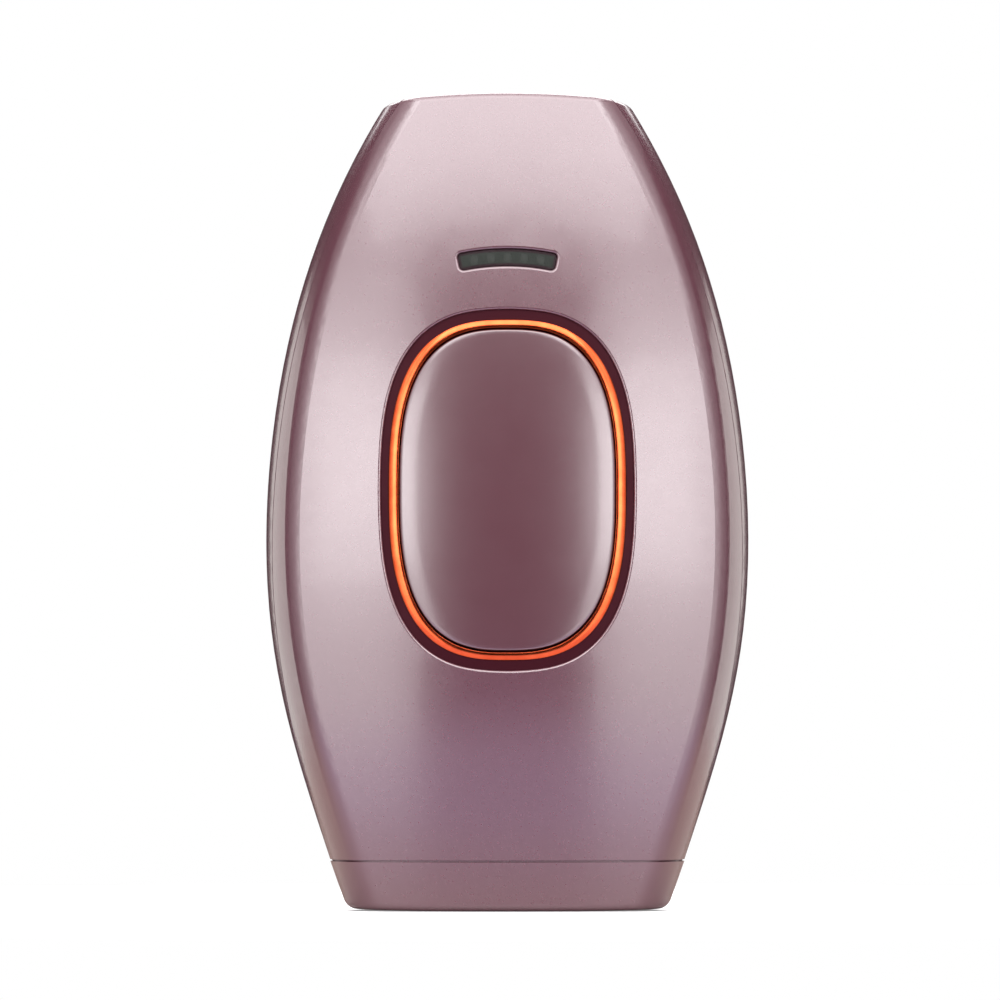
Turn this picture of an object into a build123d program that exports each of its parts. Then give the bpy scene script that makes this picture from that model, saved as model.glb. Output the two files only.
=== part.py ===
"""Hand-held IPL hair remover, standing on its tail: a two-part casing with a flash head at the top.

Frame: +Z runs up the long axis, -Y is the front with the button, +X is the user's right. The origin is the
middle of the flat under the tail cap, on the plane where the casing is widest. Millimetres throughout.
"""

import os
from math import cos, pi, radians, sin, sqrt, tan

from build123d import *

os.makedirs("parts", exist_ok=True)

# ----------------------------------------------------------------------------- driving dimensions
HEIGHT = 144.7  # tail face to the front edge of the head rim
HALF_WIDTH = 42.75  # at the widest station
WIDEST_Z = 64.0
FRONT_DEPTH, FRONT_BOW = 21.0, 0.00173  # belly depth in front, and how fast it falls away from the belly
BACK_DEPTH, BACK_BOW = 17.5, 0.000865
BELLY_Z = 68.0
CROWN_RADIUS = 94.0  # across the front
CREASE_RADIUS = 5.8  # between the front and the side facets
WALL = 2.0
FIT = 0.06  # between pieces that are fitted together
PART_GAP = 0.25  # the visible joint between the two casing halves
LIP_EDGE = 0.45  # softened edge round the openings in the front
REACH = 60.0  # longer than anything it has to cut through

TAIL_TOP, TAIL_GAP = 8.66, 0.35
SEAM_DEPTH, SPIGOT_TOP = 0.3, 13.5  # the seam is a groove this deep, closed by the cap's spigot
TAIL_FLAT = 12.0  # half width of the flat that the object stands on
TAIL_PROUD = 0.08  # the tail cap stands this far out of the casing line
TAIL_FLOOR = 2.2  # thickness of the cap's bottom wall
INLET_RADIUS, INLET_Y = 3.2, 4.6

HEAD_TILT = 8.0  # degrees, the flash window leans towards the back
RIM_DROP, RIM_FILLET = 1.06, 1.2  # crown of the head rim from side to middle, and its outer rounding
WINDOW = (33.0, 12.0)
GLASS = (35.6, 14.6, 2.5)
GLASS_DEPTH = 3.7  # rim to the outer face of the glass
SENSOR_SPOT = 8.45  # the two skin contacts, ahead of and behind the window
HOUSING_DEPTH = 7.0  # rim to the top of the lamp housing
HOUSING = (38.0, 16.4, 14.0)
SINK_DEPTH = HOUSING_DEPTH + HOUSING[2]
LAMP_DEPTH, LAMP_RADIUS, LAMP_LENGTH = 12.8, 3.0, 45.0

BUTTON_Z = 74.4
CHANNEL = (22.25, 31.75)  # half width and half height of the opening round the button
RING, RING_INSIDE = (20.9, 29.95), (19.2, 28.6)
RING_SINK, CARRIER_SINK = 0.05, 0.5  # below the casing's form
BUTTON = (18.95, 28.2)
BUTTON_PROUD, BUTTON_EDGE, BUTTON_BACK = 0.6, 0.8, 2.6
BUTTON_TRAVEL = 0.6
SWITCH_CAP_Y = 16.05  # the switch plunger's end, under the button's nib

STRIP_Z, STRIP_RADIUS, STRIP_HEIGHT, STRIP_HALF_ANGLE = 115.4, 41.0, 3.1, 12.1
LED_COUNT, LED_PITCH = 5, 2.95

BOARD = 1.6
CONTROL_BOARD_Y = -11.8  # front faces of the two boards
MAIN_BOARD_Y = -1.0
POST_SPOTS = [(x, z) for x in (-12.0, 12.0) for z in (50.0, 98.5)]
BOARD_SPOTS = [(x, z) for x in (-20.5, 20.5) for z in (43.0, 101.0)]

FAN_Z, FAN_SIZE, FAN_Y, FAN_THICK = 74.4, 40.0, 2.2, 10.0
FAN_BORE, FAN_HOLE, BLADES = 19.2, 16.0, 7
FAN_CORNERS = [(x, FAN_Z + y) for x in (-FAN_HOLE, FAN_HOLE) for y in (-FAN_HOLE, FAN_HOLE)]
HUB_RADIUS, SHAFT_RADIUS = 9.6, 1.0
GRILLE_RADIUS = 18.5
PLATE_SIZE, PLATE_Z, PLATE_SINK = (26.0, 12.0), 36.0, 0.5

CAN_RADIUS, CAN_LENGTH, CAN_Y, CAN_Z = 11.0, 42.0, -0.8, 26.4
SCREW_SPOTS = [(-28.5, 36.0), (28.5, 36.0), (-29.0, 98.0), (29.0, 98.0)]
SCREW_SEAT_Y, BOSS_SPLIT_Y = 7.0, -2.0
SCREW_HEAD, SCREW_SHANK, SCREW_LENGTH = 2.5, 1.25, 16.0

STATIONS = [-4, 12, 30, 48, 66, 84, 102, 120, 134, 149]
PART_LINE = [(0.3, -5), (-0.2, 12), (-4.4, 30), (-6.5, 54), (-7.6, 86), (-8.0, 122), (-7.9, 150)]

FRONT = Plane.XZ  # drawn in X and Z, extruded towards the front


# ------------------------------------------------------------------------------ the casing's form
def half_width(z):
    """The front-view outline."""
    span, square, quartic = (80.0, 0.4175, 0.0988) if z > WIDEST_Z else (64.0, 0.4177, -0.0773)
    t = (z - WIDEST_Z) / span
    return HALF_WIDTH * (1 - square * t**2 - quartic * t**4)


def front_depth(z):
    return FRONT_DEPTH - FRONT_BOW * (z - BELLY_Z) ** 2


def back_depth(z):
    return BACK_DEPTH - BACK_BOW * (z - BELLY_Z) ** 2


def crown_y(x, z, inset=0.0):
    """Where the front surface lies at x and z."""
    r = CROWN_RADIUS - inset
    return -(front_depth(z) - inset) + r - sqrt(r**2 - x**2)


def on_front(point):
    """Whether a point lies on the front surface, near the openings in it."""
    near = abs(point.X) < CHANNEL[0] + 1 and BUTTON_Z - CHANNEL[1] - 1 < point.Z < STRIP_Z + STRIP_HEIGHT
    return near and abs(point.Y - crown_y(point.X, point.Z)) < 0.05


def crease_inset(z):
    """How far the crease between the front and the side facet lies inside the outline."""
    return 4.7 - 1.2 * (z / HEIGHT) ** 2


def body_section(z, inset):
    """One cross-section of the casing: crowned front, two leaning side facets and a half ellipse behind."""
    w, b = half_width(z) - inset, back_depth(z) - inset
    x_crease = w - crease_inset(z)
    y_crease = crown_y(x_crease, z, inset)
    lean = 2 * crease_inset(z) / -y_crease  # slope of the side where it meets the crease
    with BuildSketch(Plane.XY.offset(z)) as section:
        with BuildLine():
            ThreePointArc((-x_crease, y_crease), (0, inset - front_depth(z)), (x_crease, y_crease))
            Spline((x_crease, y_crease), (w, 0), tangents=((lean, 1), (0, 1)))
            EllipticalCenterArc((0, 0), w, b, 0, arc_size=180)
            Spline((-w, 0), (-x_crease, y_crease), tangents=((0, -1), (lean, -1)))
        make_face()
        fillet(section.vertices().group_by(Axis.Y)[0], radius=CREASE_RADIUS - 0.3 * inset)
    return section.sketch.face()


def body_block(inset):
    """The casing's form as a solid, inset from the outside and running past both ends."""
    sections = [body_section(z, inset) for z in STATIONS]
    with BuildPart() as block:
        loft(sections)
    return block.part


def layer(outside, inside):
    """The curved slab of the casing's form between two insets."""
    with BuildPart() as slab:
        add(body_block(outside))
        add(body_block(inside), mode=Mode.SUBTRACT)
    return slab.part


HEAD_Y = (back_depth(HEIGHT) - front_depth(HEIGHT)) / 2
TILT = radians(HEAD_TILT)
RIM_FRONT = Vector(0, -front_depth(HEIGHT), HEIGHT)
HEAD = Plane(
    origin=(0, HEAD_Y, HEIGHT - (HEAD_Y + front_depth(HEIGHT)) * tan(TILT)),
    x_dir=(1, 0, 0),
    z_dir=(0, sin(TILT), cos(TILT)),
)
HEAD_SIDE = Plane(origin=HEAD.origin, x_dir=HEAD.y_dir, z_dir=(1, 0, 0))  # drawn across the head, along x


def head_end(sink=0.0):
    """Everything under the crowned, tilted head rim, sunk below it by a given depth."""
    edge_x = half_width(HEIGHT - 3)
    plane = Plane(origin=RIM_FRONT, x_dir=(1, 0, 0), z_dir=(0, -cos(TILT), sin(TILT)))
    with BuildPart() as end:
        with BuildSketch(plane):
            with BuildLine():
                ThreePointArc((-edge_x, -RIM_DROP - sink), (0, -sink), (edge_x, -RIM_DROP - sink))
                Polyline(
                    (edge_x, -RIM_DROP - sink),
                    (REACH, -RIM_DROP - sink - (REACH - edge_x) / 8),
                    (REACH, -3 * REACH),
                    (-REACH, -3 * REACH),
                    (-REACH, -RIM_DROP - sink - (REACH - edge_x) / 8),
                    (-edge_x, -RIM_DROP - sink),
                )
            make_face()
        extrude(amount=REACH, both=True)
    return end.part


def tail_end():
    """Everything above the tail face: a flat middle, slightly crowned sides and two round corners."""
    crown = 420.0
    low_z = 3.0
    slope = (half_width(low_z + 1) - half_width(low_z - 1)) / 2
    lift = crown - sqrt(crown**2 - (half_width(0) - TAIL_FLAT) ** 2)
    corner_x = half_width(low_z) + TAIL_PROUD + 0.02 - slope * (low_z - lift)
    high_x = corner_x + slope * REACH
    middle_x = (TAIL_FLAT + corner_x) / 2
    with BuildPart() as end:
        with BuildSketch(FRONT) as outline:
            with BuildLine():
                Line((-TAIL_FLAT, 0), (TAIL_FLAT, 0))
                ThreePointArc((TAIL_FLAT, 0), (middle_x, lift / 4), (corner_x, lift))
                Polyline(
                    (corner_x, lift),
                    (high_x, REACH),
                    (high_x, 3 * REACH),
                    (-high_x, 3 * REACH),
                    (-high_x, REACH),
                    (-corner_x, lift),
                )
                ThreePointArc((-corner_x, lift), (-middle_x, lift / 4), (-TAIL_FLAT, 0))
            make_face()
            fillet([v for v in outline.vertices() if abs(abs(v.X) - corner_x) < 0.01], radius=2.6)
        extrude(amount=REACH, both=True)
    return end.part


def ahead_of_part_line(shift):
    """Everything in front of the parting line, which swings forward up the sides."""
    with BuildPart() as region:
        with BuildSketch(Plane.YZ):
            with BuildLine():
                line = Spline([(y + shift, z) for y, z in PART_LINE])
                Polyline(line @ 1, (-REACH, PART_LINE[-1][1]), (-REACH, PART_LINE[0][1]), line @ 0)
            make_face()
        extrude(amount=REACH, both=True)
    return region.part


def slab_between(low_z, high_z):
    """All the space between two heights."""
    with BuildPart() as slab:
        with BuildSketch(Plane.XY.offset(low_z)):
            Rectangle(2 * REACH, 2 * REACH)
        extrude(amount=high_z - low_z)
    return slab.part


def superellipse_block(half_size):
    """The rounded outline of the button, its ring and its channel, run from the middle out of the front."""
    exponent, count = 2.75, 32
    points = []
    for i in range(count):
        angle = 2 * pi * (i + 0.5) / count
        across, up = cos(angle), sin(angle)
        x = half_size[0] * abs(across) ** (2 / exponent) * (1 if across > 0 else -1)
        y = half_size[1] * abs(up) ** (2 / exponent) * (1 if up > 0 else -1)
        points.append((x, y + BUTTON_Z))
    with BuildPart() as block:
        with BuildSketch(FRONT):
            with BuildLine():
                Spline(points, periodic=True)
            make_face()
        extrude(amount=REACH)
    return block.part


def strip_block(grow=0.0):
    """The bowed indicator strip's outline, run from the middle plane out of the front."""
    centre = (0, STRIP_Z - STRIP_RADIUS)
    half_angle = STRIP_HALF_ANGLE + grow * 180 / pi / STRIP_RADIUS
    outer = STRIP_RADIUS + STRIP_HEIGHT / 2 + grow
    inner = STRIP_RADIUS - STRIP_HEIGHT / 2 - grow
    with BuildPart() as block:
        with BuildSketch(FRONT) as outline:
            with BuildLine():
                top = CenterArc(centre, outer, 90 - half_angle, 2 * half_angle)
                low = CenterArc(centre, inner, 90 - half_angle, 2 * half_angle)
                Line(top @ 0, low @ 0)
                Line(top @ 1, low @ 1)
            make_face()
            fillet(outline.vertices(), radius=0.75 + grow / 2)
        extrude(amount=REACH)
    return block.part


def common(first, *others):
    """What several solids share."""
    with BuildPart() as shared:
        add(first)
        for other in others:
            add(other, mode=Mode.INTERSECT)
    return shared.part


def save(piece, name):
    """Name a finished piece and write it."""
    piece.part.label = name
    export_step(piece.part, f"parts/{name}.step")


# ---------------------------------------------------------------------------------- shared blocks
SKIN = body_block(0)
CAVITY = body_block(WALL)
INSIDE = body_block(WALL + FIT)  # what fits inside the shells
HEAD_END = head_end()
TAIL_END = tail_end()
AHEAD = ahead_of_part_line(0)

with BuildPart() as casing_form:
    add(SKIN)
    add(HEAD_END, mode=Mode.INTERSECT)
    add(TAIL_END, mode=Mode.INTERSECT)
    crown_faces = [f for f in casing_form.faces() if f.center().Z > 141 and f.normal_at().Z > 0.9]
    crown_edges = [e for f in crown_faces for e in f.edges()]
    fillet([e for e in crown_edges if sum(e.is_same(o) for o in crown_edges) == 1], radius=RIM_FILLET)
    split(bisect_by=Plane.XY.offset(TAIL_TOP + TAIL_GAP), keep=Keep.TOP)

# ------------------------------------------------------------------------------------ front shell
with BuildPart() as front_bosses:
    with BuildSketch(FRONT.offset(-BOSS_SPLIT_Y)):
        with Locations(SCREW_SPOTS):
            Circle(3.0)
            Circle(SCREW_SHANK + 0.05, mode=Mode.SUBTRACT)
    extrude(amount=REACH)
    add(body_block(1.0), mode=Mode.INTERSECT)

with BuildPart() as front_shell:
    add(casing_form.part)
    add(CAVITY, mode=Mode.SUBTRACT)
    add(AHEAD, mode=Mode.INTERSECT)
    add(superellipse_block(CHANNEL), mode=Mode.SUBTRACT)
    add(strip_block(), mode=Mode.SUBTRACT)
    opening_edges = [e for e in front_shell.edges() if on_front(e @ 0) and on_front(e @ 0.5)]
    fillet(opening_edges, radius=LIP_EDGE)
    add(front_bosses.part)
save(front_shell, "front_shell")

# ------------------------------------------------------ back shell, with its lip behind the joint
with BuildPart() as lip:
    add(layer(WALL - 0.2, WALL + 1.0))
    add(ahead_of_part_line(3.0), mode=Mode.INTERSECT)
    add(ahead_of_part_line(PART_GAP), mode=Mode.SUBTRACT)
    add(common(layer(WALL + FIT, WALL + 1.0), ahead_of_part_line(PART_GAP)))
    add(ahead_of_part_line(-1.5), mode=Mode.SUBTRACT)
    add(slab_between(15.0, 133.0), mode=Mode.INTERSECT)

with BuildPart() as back_bosses:
    with BuildSketch(FRONT.offset(-BOSS_SPLIT_Y - 0.1)):
        with Locations(SCREW_SPOTS):
            Circle(3.2)
    extrude(amount=-REACH)
    with BuildSketch(FRONT.offset(-FAN_Y - FAN_THICK)):
        with Locations(FAN_CORNERS):
            Circle(2.6)
    extrude(amount=-REACH)
    with BuildSketch(FRONT.offset(-MAIN_BOARD_Y - BOARD)):
        with Locations(BOARD_SPOTS):
            Circle(2.0)
    extrude(amount=-REACH)
    add(body_block(1.0), mode=Mode.INTERSECT)

with BuildPart() as grille_ledge:
    with BuildSketch(FRONT):
        with Locations((0, FAN_Z)):
            Circle(GRILLE_RADIUS + 2.0)
            Circle(GRILLE_RADIUS - 1.2, mode=Mode.SUBTRACT)
    extrude(amount=-REACH)
    add(layer(1.8, 3.0), mode=Mode.INTERSECT)

with BuildPart() as plate_recess:
    with BuildSketch(FRONT):
        with Locations((0, PLATE_Z)):
            RectangleRounded(*PLATE_SIZE, 1.5)
    extrude(amount=-REACH)
    add(layer(-1.0, PLATE_SINK), mode=Mode.INTERSECT)

with BuildPart() as back_shell:
    add(casing_form.part)
    add(CAVITY, mode=Mode.SUBTRACT)
    add(ahead_of_part_line(PART_GAP), mode=Mode.SUBTRACT)
    add(lip.part)
    add(back_bosses.part)
    with BuildSketch(FRONT):
        with Locations((0, FAN_Z)):
            Circle(GRILLE_RADIUS + 0.15)
    extrude(amount=-REACH, mode=Mode.SUBTRACT)
    add(grille_ledge.part)
    with BuildSketch(FRONT):
        with Locations(SCREW_SPOTS):
            Circle(1.5)
    extrude(amount=REACH, both=True, mode=Mode.SUBTRACT)
    with BuildSketch(FRONT.offset(-SCREW_SEAT_Y)):
        with Locations(SCREW_SPOTS):
            Circle(2.8)
    extrude(amount=-REACH, mode=Mode.SUBTRACT)
    with BuildSketch(FRONT.offset(-FAN_Y - FAN_THICK)):
        with Locations(FAN_CORNERS):
            Circle(1.1)
    extrude(amount=-1.0, mode=Mode.SUBTRACT)
    add(plate_recess.part, mode=Mode.SUBTRACT)
save(back_shell, "back_shell")

# ---------------------------------------------------- tail cap: spigot, inlet hole and vent slots
with BuildPart() as spigot:
    add(common(layer(SEAM_DEPTH, WALL + 1.4), slab_between(6.0, TAIL_TOP + TAIL_GAP - FIT)))
    add(common(layer(WALL + FIT, WALL + 1.4), slab_between(TAIL_TOP, SPIGOT_TOP)))

with BuildPart() as tail_cap:
    add(body_block(-TAIL_PROUD))
    add(TAIL_END, mode=Mode.INTERSECT)
    split(bisect_by=Plane.XY.offset(TAIL_TOP), keep=Keep.BOTTOM)
    foot = [f for f in tail_cap.faces() if f.center().Z < 1.0 and f.normal_at().Z < -0.95]
    foot_edges = [e for f in foot for e in f.edges()]
    fillet([e for e in foot_edges if abs(e.center().Y) > 6.0], radius=1.6)
    add(common(body_block(WALL - 0.1), slab_between(TAIL_FLOOR, TAIL_TOP)), mode=Mode.SUBTRACT)
    add(spigot.part)
    with BuildSketch(Plane.XY):
        with Locations((0, INLET_Y)):
            Circle(INLET_RADIUS)
        with Locations((-13.5, 0), (13.5, 0)):
            with GridLocations(2.6, 0, 5, 1):
                SlotOverall(9.0, 1.2, rotation=90)
    extrude(amount=TAIL_FLOOR, mode=Mode.SUBTRACT)
save(tail_cap, "tail_cap")

# ------------------------------------------------------ button, its bright ring and their carrier
with BuildPart() as board_posts:
    with BuildSketch(FRONT.offset(0.02 - CONTROL_BOARD_Y)):
        with Locations(POST_SPOTS):
            Circle(2.0)
    extrude(amount=REACH)

with BuildPart() as button_bezel:
    add(superellipse_block((CHANNEL[0] - FIT, CHANNEL[1] - FIT)))
    add(layer(CARRIER_SINK, 5.2), mode=Mode.INTERSECT)
    add(common(superellipse_block((CHANNEL[0] + 1.2, CHANNEL[1] + 1.2)), layer(WALL + FIT, 3.2)))
    ring_room = superellipse_block((RING[0] + FIT, RING[1] + FIT))
    add(common(ring_room, layer(-3.0, BUTTON_BACK)), mode=Mode.SUBTRACT)
    well = layer(-3.0, BUTTON_BACK + BUTTON_TRAVEL + 0.8)
    add(common(superellipse_block((BUTTON[0] + 0.15, BUTTON[1] + 0.15)), well), mode=Mode.SUBTRACT)
    add(common(board_posts.part, body_block(4.6)))
    with BuildSketch(FRONT):
        with Locations((0, BUTTON_Z)):
            Circle(3.0)
    extrude(amount=REACH, mode=Mode.SUBTRACT)
save(button_bezel, "button_bezel")

with BuildPart() as accent_ring:
    add(superellipse_block(RING))
    add(layer(RING_SINK, BUTTON_BACK - FIT), mode=Mode.INTERSECT)
    add(superellipse_block(RING_INSIDE), mode=Mode.SUBTRACT)
    fillet(accent_ring.faces().sort_by(Axis.Y)[0].edges(), radius=0.45)
save(accent_ring, "accent_ring")

with BuildPart() as fire_button:
    add(superellipse_block(BUTTON))
    add(layer(-BUTTON_PROUD, BUTTON_BACK), mode=Mode.INTERSECT)
    fillet(fire_button.faces().sort_by(Axis.Y)[0].edges(), radius=BUTTON_EDGE)
    with BuildSketch(FRONT.offset(SWITCH_CAP_Y)):
        with Locations((0, BUTTON_Z)):
            Circle(2.4)
    extrude(amount=3.5)
save(fire_button, "fire_button")

# ------------------------------------------------------ indicator: smoked lens, light guide, LEDs
with BuildPart() as indicator_lens:
    add(strip_block(-2 * FIT))
    add(layer(0.35, 2.7), mode=Mode.INTERSECT)
    add(common(strip_block(0.9), layer(WALL + FIT, 2.7)))
save(indicator_lens, "indicator_lens")

with BuildPart() as light_guide:
    add(strip_block(-0.3))
    add(body_block(2.75), mode=Mode.INTERSECT)
    split(bisect_by=FRONT.offset(12.7), keep=Keep.TOP)
save(light_guide, "light_guide")

for i in range(LED_COUNT):
    angle = (i - (LED_COUNT - 1) / 2) * LED_PITCH / STRIP_RADIUS
    spot = (STRIP_RADIUS * sin(angle), STRIP_Z - STRIP_RADIUS * (1 - cos(angle)))
    with BuildPart() as led:
        with BuildSketch(FRONT.offset(0.02 - CONTROL_BOARD_Y)):
            with Locations(spot):
                Rectangle(1.6, 0.9)
        extrude(amount=0.7)
        chamfer(led.faces().sort_by(Axis.Y)[0].edges(), length=0.12)
    save(led, f"indicator_led_{i + 1}")

# -------------------------------------------------- control board and the switch under the button
with BuildPart() as control_board:
    with BuildSketch(FRONT.offset(-CONTROL_BOARD_Y - BOARD)):
        with Locations((0, 81.5)):
            RectangleRounded(30.0, 75.0, 1.5)
        with Locations(POST_SPOTS):
            Circle(1.1, mode=Mode.SUBTRACT)
    extrude(amount=BOARD - 0.02)
save(control_board, "control_board")

with BuildPart() as tact_switch:
    with BuildSketch(FRONT.offset(-CONTROL_BOARD_Y)):
        with Locations((0, BUTTON_Z)):
            RectangleRounded(6.2, 6.2, 0.5)
    extrude(amount=3.4)
    with BuildSketch(FRONT.offset(0.8 - CONTROL_BOARD_Y)):
        with Locations((0, BUTTON_Z)):
            Circle(1.75)
    extrude(amount=REACH, mode=Mode.SUBTRACT)
save(tact_switch, "tact_switch")

with BuildPart() as switch_plunger:
    with BuildSketch(FRONT.offset(SWITCH_CAP_Y)):
        with Locations((0, BUTTON_Z)):
            Circle(1.7)
    extrude(amount=-2.65)
    chamfer(switch_plunger.edges().sort_by(Axis.Y)[0], length=0.25)
save(switch_plunger, "switch_plunger")

with BuildPart() as controller_chip:
    with BuildSketch(FRONT.offset(0.05 - CONTROL_BOARD_Y)):
        with Locations((0, 92.0)):
            Rectangle(7.0, 7.0)
    extrude(amount=1.2)
    with BuildSketch(FRONT.offset(0.05 - CONTROL_BOARD_Y)):
        with Locations((0, 92.0)):
            with GridLocations(8.2, 0.8, 2, 8):
                Rectangle(1.4, 0.35)
            with GridLocations(0.8, 8.2, 8, 2):
                Rectangle(0.35, 1.4)
    extrude(amount=0.3)
save(controller_chip, "controller_chip")

# ----------------------------------------------------- flash head, drawn on the tilted head plane
with BuildPart() as head_bezel:
    add(INSIDE)
    add(head_end(0.45), mode=Mode.INTERSECT)
    split(bisect_by=HEAD.offset(0.1 - HOUSING_DEPTH), keep=Keep.TOP)
    with BuildSketch(HEAD):
        RectangleRounded(34.4, 14.4, 2.4)
    with BuildSketch(HEAD.offset(-GLASS_DEPTH)):
        RectangleRounded(*WINDOW, 1.6)
    loft(mode=Mode.SUBTRACT)
    with BuildSketch(HEAD.offset(-GLASS_DEPTH)):
        RectangleRounded(GLASS[0] + 0.1, GLASS[1] + 0.1, 1.6)
    extrude(amount=-REACH, mode=Mode.SUBTRACT)
    with BuildSketch(HEAD.offset(-2.0)):
        with Locations((0, -SENSOR_SPOT), (0, SENSOR_SPOT)):
            SlotOverall(6.1, 1.5)
    extrude(amount=REACH, mode=Mode.SUBTRACT)
save(head_bezel, "head_bezel")

for name, side in (("skin_sensor_front", -1), ("skin_sensor_back", 1)):
    with BuildPart() as skin_sensor:
        with BuildSketch(HEAD.offset(-1.98)):
            with Locations((0, side * SENSOR_SPOT)):
                SlotOverall(6.0, 1.4)
        extrude(amount=1.55)
        fillet(skin_sensor.faces().sort_by(Axis.Z)[-1].edges(), radius=0.3)
    save(skin_sensor, name)

with BuildPart() as filter_glass:
    with BuildSketch(HEAD.offset(-GLASS_DEPTH - 0.01)):
        RectangleRounded(GLASS[0], GLASS[1], 1.5)
    extrude(amount=-GLASS[2])
    chamfer(filter_glass.faces().group_by(Axis.Z)[-1].edges(), length=0.3)
save(filter_glass, "filter_glass")

with BuildPart() as window_gasket:
    with BuildSketch(HEAD.offset(-HOUSING_DEPTH + 0.02)):
        RectangleRounded(GLASS[0] - 0.1, GLASS[1] - 0.1, 1.4)
        RectangleRounded(WINDOW[0] + 0.6, WINDOW[1] + 0.6, 1.0, mode=Mode.SUBTRACT)
    extrude(amount=HOUSING_DEPTH - GLASS_DEPTH - GLASS[2] - 0.05)
save(window_gasket, "window_gasket")

with BuildPart() as lamp_housing:
    with BuildSketch(HEAD.offset(-HOUSING_DEPTH)):
        RectangleRounded(HOUSING[0], HOUSING[1], 4.0)
    extrude(amount=-HOUSING[2])
    with BuildSketch(HEAD.offset(-HOUSING_DEPTH)):
        RectangleRounded(HOUSING[0] - 3.6, HOUSING[1] - 2.4, 1.0)
    extrude(amount=-HOUSING[2] + 1.6, mode=Mode.SUBTRACT)
    with BuildSketch(HEAD_SIDE):
        with Locations((0, -LAMP_DEPTH)):
            Circle(LAMP_RADIUS + 0.1)
    extrude(amount=REACH, both=True, mode=Mode.SUBTRACT)
save(lamp_housing, "lamp_housing")

with BuildPart() as reflector:
    with BuildSketch(HEAD_SIDE):
        with BuildLine():
            Bezier((-6.6, -HOUSING_DEPTH - 0.4), (0, -29.5), (6.6, -HOUSING_DEPTH - 0.4))
            Line((6.6, -HOUSING_DEPTH - 0.4), (6.1, -HOUSING_DEPTH - 0.4))
            Bezier((6.1, -HOUSING_DEPTH - 0.4), (0, -28.5), (-6.1, -HOUSING_DEPTH - 0.4))
            Line((-6.1, -HOUSING_DEPTH - 0.4), (-6.6, -HOUSING_DEPTH - 0.4))
        make_face()
    extrude(amount=16.6, both=True)
save(reflector, "reflector")

with BuildPart() as flash_lamp:
    with BuildSketch(HEAD_SIDE):
        with Locations((0, -LAMP_DEPTH)):
            Circle(LAMP_RADIUS)
    extrude(amount=LAMP_LENGTH / 2, both=True)
    fillet(flash_lamp.edges().filter_by(GeomType.CIRCLE), radius=0.8)
    with BuildSketch(HEAD_SIDE):
        with Locations((0, -LAMP_DEPTH)):
            Circle(LAMP_RADIUS - 0.8)
    extrude(amount=19.0, both=True, mode=Mode.SUBTRACT)
    with BuildSketch(HEAD_SIDE):
        with Locations((0, -LAMP_DEPTH)):
            Circle(0.62)
    extrude(amount=REACH, both=True, mode=Mode.SUBTRACT)
save(flash_lamp, "flash_lamp")

for name, side in (("left", -1), ("right", 1)):
    with BuildPart() as lamp_electrode:
        with BuildSketch(HEAD_SIDE.offset(side * 17.0)):
            with Locations((0, -LAMP_DEPTH)):
                Circle(0.6)
        extrude(amount=side * 7.2)
        with BuildSketch(HEAD_SIDE.offset(side * 14.0)):
            with Locations((0, -LAMP_DEPTH)):
                Circle(1.5)
        extrude(amount=side * 3.2)
        with BuildSketch(HEAD_SIDE.offset(side * 22.6)):
            with Locations((0, -LAMP_DEPTH)):
                Circle(1.5)
        extrude(amount=side * 1.9)
    save(lamp_electrode, f"lamp_electrode_{name}")
    with BuildPart() as lamp_boot:
        with BuildSketch(HEAD_SIDE.offset(side * (HOUSING[0] / 2 + 0.02))):
            with Locations((0, -LAMP_DEPTH)):
                Circle(4.2)
                Circle(LAMP_RADIUS + 0.02, mode=Mode.SUBTRACT)
        extrude(amount=side * 2.4)
        fillet(lamp_boot.faces().sort_by(Axis.X)[-1 if side > 0 else 0].outer_wire().edges(), radius=0.8)
    save(lamp_boot, f"lamp_boot_{name}")

with BuildPart() as heat_sink:
    with BuildSketch(HEAD.offset(-SINK_DEPTH - 0.02)):
        with Locations((0, 1.4)):
            Rectangle(34.0, 12.0)
    extrude(amount=-1.5)
    with BuildSketch(HEAD.offset(-SINK_DEPTH - 1.52)):
        with Locations((0, 1.4)):
            with GridLocations(4.1, 0, 9, 1):
                Rectangle(1.0, 12.0)
    extrude(amount=-4.2)
save(heat_sink, "heat_sink")

with BuildPart() as thermal_cutout:
    with BuildSketch(HEAD.offset(-12.0)):
        with Locations((0, HOUSING[1] / 2 + 1.15)):
            RectangleRounded(7.5, 2.2, 0.5)
    extrude(amount=-4.5)
save(thermal_cutout, "thermal_cutout")

# --------------------------------------------------------------------- fan behind the rear grille
FAN_FRONT = FRONT.offset(-FAN_Y)
FAN_BACK = FRONT.offset(-FAN_Y - FAN_THICK + 0.05)

with BuildPart() as fan_frame:
    with BuildSketch(FAN_BACK):
        with Locations((0, FAN_Z)):
            RectangleRounded(FAN_SIZE, FAN_SIZE, 3.0)
            Circle(FAN_BORE, mode=Mode.SUBTRACT)
        with Locations(FAN_CORNERS):
            Circle(1.7, mode=Mode.SUBTRACT)
    extrude(amount=FAN_THICK - 0.1)
    with BuildSketch(FAN_FRONT.offset(-1.4)):
        with Locations((0, FAN_Z)):
            Circle(10.0)
            with PolarLocations(14.5, 4, start_angle=45):
                Rectangle(11.0, 1.8)
    extrude(amount=1.3)
save(fan_frame, "fan_frame")

with BuildPart() as fan_bearing:
    with BuildSketch(FAN_FRONT.offset(-1.45)):
        with Locations((0, FAN_Z)):
            Circle(2.4)
            Circle(SHAFT_RADIUS + FIT / 2, mode=Mode.SUBTRACT)
    extrude(amount=-6.4)
save(fan_bearing, "fan_bearing")

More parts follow.
